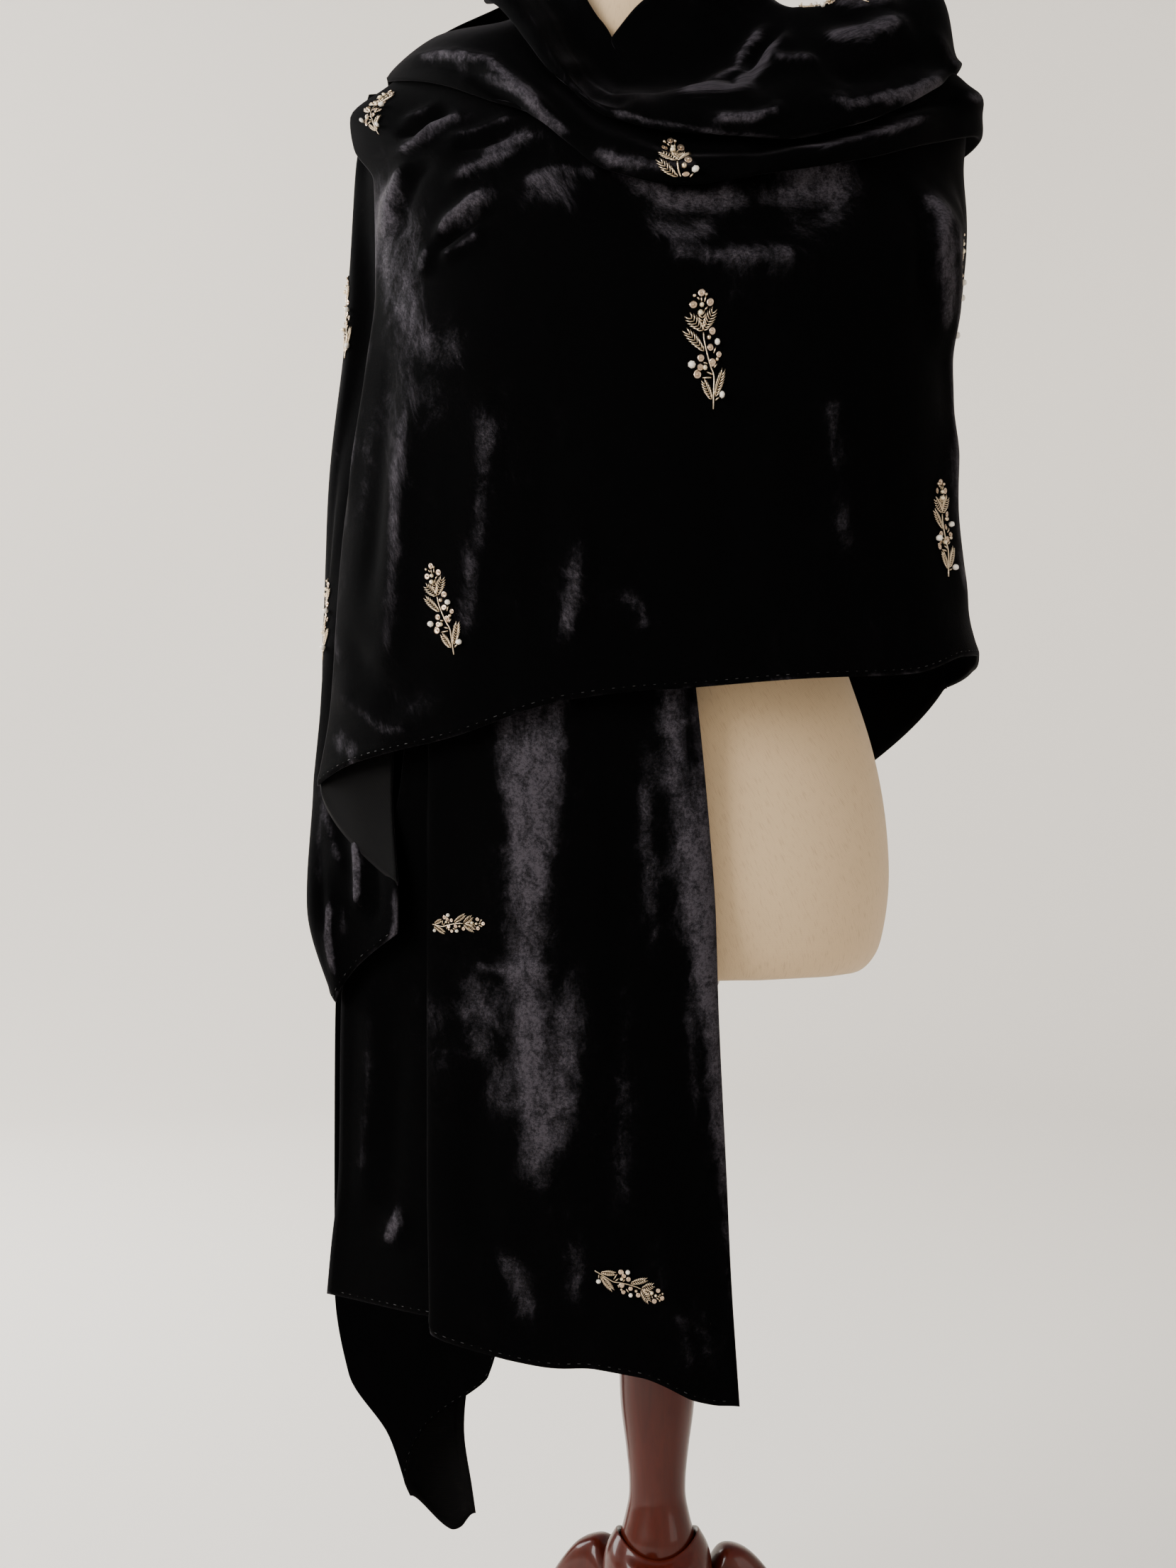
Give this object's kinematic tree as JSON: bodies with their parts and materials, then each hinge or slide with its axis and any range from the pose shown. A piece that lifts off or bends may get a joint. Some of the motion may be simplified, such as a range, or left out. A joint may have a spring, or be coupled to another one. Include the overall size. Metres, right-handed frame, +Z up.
{
  "type": "velvet scarf on a limbless dress form with a tripod stand",
  "caption": "Long embroidered velvet scarf wrapped and cowled round a limbless linen dress form on a turned wooden tripod stand.",
  "frame": {"origin": "bottom centre of the whole object's bounding box, on the floor", "axes": "+Z up; -Y towards the front of the figure; +X to the right of someone facing the front"},
  "size_m": [0.5082, 0.4258, 1.531],
  "materials": {
    "velvet": "silk velvet, near black, with a cool sheen",
    "linen": "natural linen cover",
    "gold_trim": "pale antique gold couched thread, sequins and beads",
    "mahogany": "dark red-brown gloss varnish"
  },
  "bodies": {
    "root": {"scarf_cowl_band": "velvet", "scarf_cowl_fold": "velvet", "scarf_front_wrap": "velvet", "scarf_side_return": "velvet", "scarf_side_cascade": "velvet", "scarf_back_fold": "velvet", "scarf_back_tail": "velvet", "scarf_back_drape": "velvet", "scarf_shoulder_run": "velvet", "scarf_front_tail": "velvet", "form_torso": "linen", "form_neck_cap": "mahogany", "stand_pole": "mahogany", "stand_hub": "mahogany", "stand_leg_1": "mahogany", "stand_leg_2": "mahogany", "stand_leg_3": "mahogany"}
  },
  "joints": []
}
